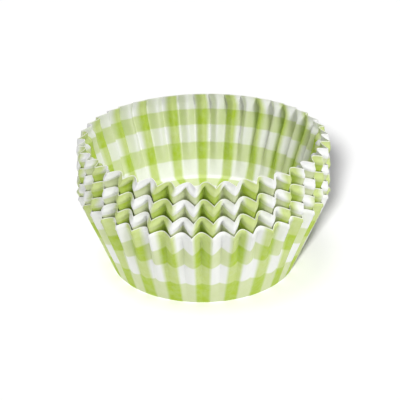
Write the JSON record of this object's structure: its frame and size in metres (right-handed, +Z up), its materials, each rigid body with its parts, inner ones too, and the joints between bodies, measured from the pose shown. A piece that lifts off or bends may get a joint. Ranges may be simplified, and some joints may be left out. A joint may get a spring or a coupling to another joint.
{
  "type": "stack of cupcake liners",
  "caption": "Stack of nested pleated paper cupcake liners with flat round bases, flared fluted walls and a checked print.",
  "frame": {"origin": "centre of the underside of the lowest liner's base", "axes": "+Z up through the open mouths of the liners; a valley of the pleats lies at -Y"},
  "size_m": [0.0702, 0.0702, 0.0386],
  "materials": {
    "liner_paper": "matte greaseproof paper with a printed green and white check"
  },
  "bodies": {
    "root": {"bottom_liner": "liner_paper", "second_liner": "liner_paper", "third_liner": "liner_paper", "top_liner": "liner_paper"}
  },
  "joints": []
}
